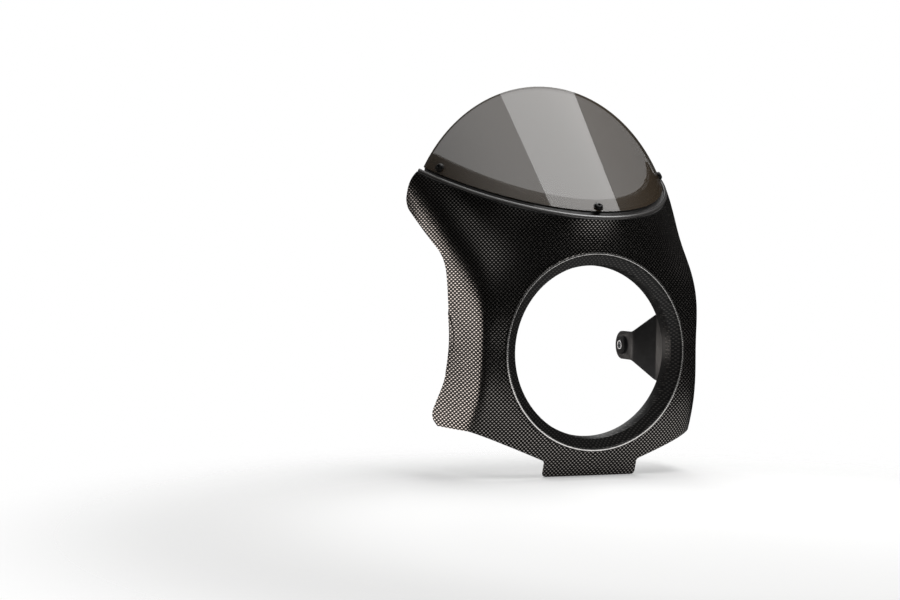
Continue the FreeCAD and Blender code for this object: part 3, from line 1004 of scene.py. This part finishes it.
@dataclass
class ScreenFixings:
    """Screws, washers, well nuts and inserts at the three fixing points of the screen."""

    arch: RakedArch
    side_x: float = 0.144
    centre_share: float = 0.86
    side_share: float = 0.50

    def build(self) -> None:
        """Make every fitting of the screen."""
        seats = [self.arch.station(0.0, self.centre_share), self.arch.station(self.side_x, self.side_share),
                 self.arch.station(-self.side_x, self.side_share)]
        ScreenScrews("screen_screw_set", "screen_screws", BLACK_SCREW, seats).build()
        Rings("screen_washer_set", "screen_washers", NYLON, seats).build()
        WellNuts("well_nut_set", "well_nuts", RUBBER, seats).build()
        Rings("well_nut_core_set", "well_nut_inserts", BRASS, seats, inner=0.00255, outer=0.0033,
              low=-0.0175, high=-0.0100, chamfer=0.00015).build()


@dataclass
class StayPair:
    """The two bent steel stays with their screws, washers, inserts and bushed ears."""

    boss_x: float = 0.126
    boss_y: float = 0.040
    boss_z: float = 0.027
    ear_x: float = 0.1065
    ear_y: float = 0.116
    edge_round: float = 0.0005
    flat_turn: float = math.radians(0.5)
    crease: float = math.radians(35.0)

    def strap(self, node: str, name: str) -> None:
        """Make one strap with softened edges.

        Args:
            node: The node that it stands for.
            name: The piece's name.
        """
        piece = copied(node, name)
        solid = bmesh.new()
        solid.from_mesh(piece.data)
        bmesh.ops.dissolve_limit(solid, angle_limit=self.flat_turn, verts=solid.verts, edges=solid.edges)
        solid.to_mesh(piece.data)
        solid.free()
        soften(piece, self.edge_round, self.crease)
        piece.data.set_sharp_from_angle(angle=self.crease)
        piece.data.materials.clear()
        piece.data.materials.append(STAY_PAINT.material())
        stand_in(piece, node, STAY_PAINT.slot)

    def build(self) -> None:
        """Make the stays and what fixes them."""
        self.strap("stay_left", "left_stay")
        self.strap("stay_right", "right_stay")
        bosses = [(Vector((side * self.boss_x, self.boss_y, z)), Vector((side, 0.0, 0.0)))
                  for side in (1.0, -1.0) for z in (self.boss_z, -self.boss_z)]
        ears = [(Vector((side * self.ear_x, self.ear_y, 0.0)), Vector((side, 0.0, 0.0))) for side in (1.0, -1.0)]
        Rings("stay_insert_set", "stay_inserts", BRASS, bosses, inner=0.00305, outer=0.0043, low=0.0, high=0.010,
              chamfer=0.0002).build()
        StayScrews("stay_screw_set", "stay_screws", ZINC, bosses).build()
        Rings("stay_washer_set", "stay_washers", ZINC, bosses, inner=0.0033, outer=0.006, low=-0.0046, high=-0.003,
              chamfer=0.00025).build()
        EarBushes("ear_bush_set", "stay_bushes", RUBBER, ears).build()
        Rings("bush_sleeve_set", "bush_sleeves", ZINC, ears, inner=0.0042, outer=0.0056, low=-0.0056, high=0.0056,
              chamfer=0.0003).build()


@dataclass(frozen=True)
class Softbox:
    """A rectangular studio light."""

    name: str
    place: Point
    aim: Point
    size: Span
    radiance: float
    tint: Colour = (1.0, 1.0, 1.0)
    spin: float = 0.0

    def hang(self) -> None:
        """Add the light to the scene."""
        lamp = bpy.data.lights.new(self.name, "AREA")
        lamp.shape = "RECTANGLE"
        lamp.size, lamp.size_y = self.size
        lamp.energy = self.radiance * math.pi * self.size[0] * self.size[1]
        lamp.color = self.tint
        light = new_object(self.name, lamp)
        look = (Vector(self.aim) - Vector(self.place)).to_track_quat("-Z", "Y").to_matrix().to_4x4()
        light.matrix_world = Matrix.Translation(Vector(self.place)) @ look @ Matrix.Rotation(self.spin, 4, "Z")
        light.visible_camera = False


@dataclass
class Studio:
    """Pale floor, white surroundings, soft lights and the camera."""

    floor_z: float = -0.1412
    floor_reach: float = 1.0
    floor_sides: int = 96
    floor_clear: Span = (0.34, 0.70)
    floor_middle: Span = (-0.08, -0.36)
    floor_tone: Colour = (0.86, 0.86, 0.855)
    floor_shade: float = 0.985
    floor_rough: Span = (0.75, 0.85)
    floor_cloud: float = 3.0
    floor_glow: float = 0.40
    glow_clear: Span = (0.26, 0.56)
    glow_middle: Span = (-0.06, -0.42)
    full_glow: Colour = (1.0, 1.0, 1.0)
    dim_glow: Colour = (0.5, 0.5, 0.5)
    room: float = 0.018
    dome: float = 0.90
    dome_power: float = 5.0
    lens: float = 70.8
    sensor: float = 36.0
    right: Point = (0.92231175, -0.3860527, 0.01744548)
    up: Point = (-0.00520712, 0.03272432, 0.99945085)
    ahead: Point = (0.38641159, 0.92189611, -0.02817181)
    stand: Point = (-0.92206, -1.78926, 0.11164)
    lights: tuple[Softbox, ...] = (
        Softbox("overhead", (0.395, 0.16, 1.2), (0.395, 0.16, 0.0), (0.79, 1.4), 3.6, spin=math.radians(14.0)),
        Softbox("left_rear", (-1.2, 1.25, -0.2), (-0.14, 0.03, 0.02), (1.1, 0.42), 3.6, (1.0, 0.93, 0.88)),
        Softbox("left_low", (-1.1, -0.45, -0.1), (-0.11, -0.02, 0.0), (0.5, 0.25), 0.08),
        Softbox("rear_fill", (0.35, 2.2, 1.0), (0.0, 0.05, 0.05), (1.6, 1.0), 3.0))

    @staticmethod
    def faded(shader: Shader, where: Value, middle: Span, clear: Span) -> Value:
        """Go from 0 to 1 over a span of distance from a point of the floor."""
        x, y, _ = shader.split(where)
        x, y = x - middle[0], y - middle[1]
        return shader.ease((x * x + y * y).math("SQRT"), *clear)

    def build_floor(self) -> None:
        """Lay a round floor that glows a little and fades into the white around it."""
        disc = bmesh.new()
        bmesh.ops.create_circle(disc, cap_ends=True, segments=self.floor_sides, radius=self.floor_reach,
                                matrix=Matrix.Translation((0.0, 0.0, self.floor_z)))
        mesh = bpy.data.meshes.new("floor")
        disc.to_mesh(mesh)
        disc.free()
        floor = new_object("floor", mesh)
        shader = Shader("pale_floor")
        where = shader.place()
        cloud = shader.noise(where, self.floor_cloud, 2.0)
        faded = self.faded(shader, where, self.floor_middle, self.floor_clear)
        dimmed = self.faded(shader, where, self.glow_middle, self.glow_clear)
        shade = tuple(part * self.floor_shade for part in self.floor_tone)
        shader.set(Base_Color=shader.blend(cloud, self.floor_tone, shade),
                   Roughness=cloud.mix(*self.floor_rough),
                   Specular_IOR_Level=0.1,
                   Emission_Color=shader.blend(dimmed, self.full_glow, self.dim_glow),
                   Emission_Strength=self.floor_glow,
                   Alpha=1.0 - faded)
        mesh.materials.append(shader.material)

    def build_world(self) -> None:
        """Surround the scene with white for the eye, and light it dimly, more from above."""
        world = bpy.data.worlds.new("studio")
        world.use_nodes = True
        bpy.context.scene.world = world
        graph = Graph(world.node_tree)
        backdrop = graph.tree.nodes["Background"]
        seen = graph.take("ShaderNodeLightPath", "Is Camera Ray")
        _, _, up = graph.split(graph.take("ShaderNodeTexCoord", "Generated"))
        strength = seen.mix(self.room + up.math("MAXIMUM", 0.0) ** self.dome_power * self.dome, 1.0)
        graph.feed(backdrop.inputs["Strength"], strength)
        graph.feed(backdrop.inputs["Color"], (1.0, 1.0, 1.0, 1.0))

    def build_camera(self) -> None:
        """Stand the camera at the photograph's viewing angle."""
        optics = bpy.data.cameras.new("camera")
        optics.lens = self.lens
        optics.sensor_width = self.sensor
        optics.sensor_fit = "HORIZONTAL"
        optics.clip_start = 0.01
        camera = new_object("camera", optics)
        back = tuple(-part for part in self.ahead)
        camera.matrix_world = Matrix((*zip(self.right, self.up, back, self.stand), (0.0, 0.0, 0.0, 1.0)))
        bpy.context.scene.camera = camera

    def build(self) -> None:
        """Set up the whole studio."""
        bpy.context.scene.view_settings.view_transform = "Standard"
        self.build_floor()
        self.build_world()
        self.build_camera()
        for light in self.lights:
            light.hang()


def main() -> None:
    """Build the studio and every sub-assembly, and report each piece."""
    logging.basicConfig(level=logging.INFO, format="%(name)s: %(message)s")
    Studio().build()
    arch = RakedArch()
    ShellMoulding().build()
    ScreenSheet(arch).build()
    ScreenFixings(arch).build()
    StayPair().build()


if __name__ == "__main__":
    main()
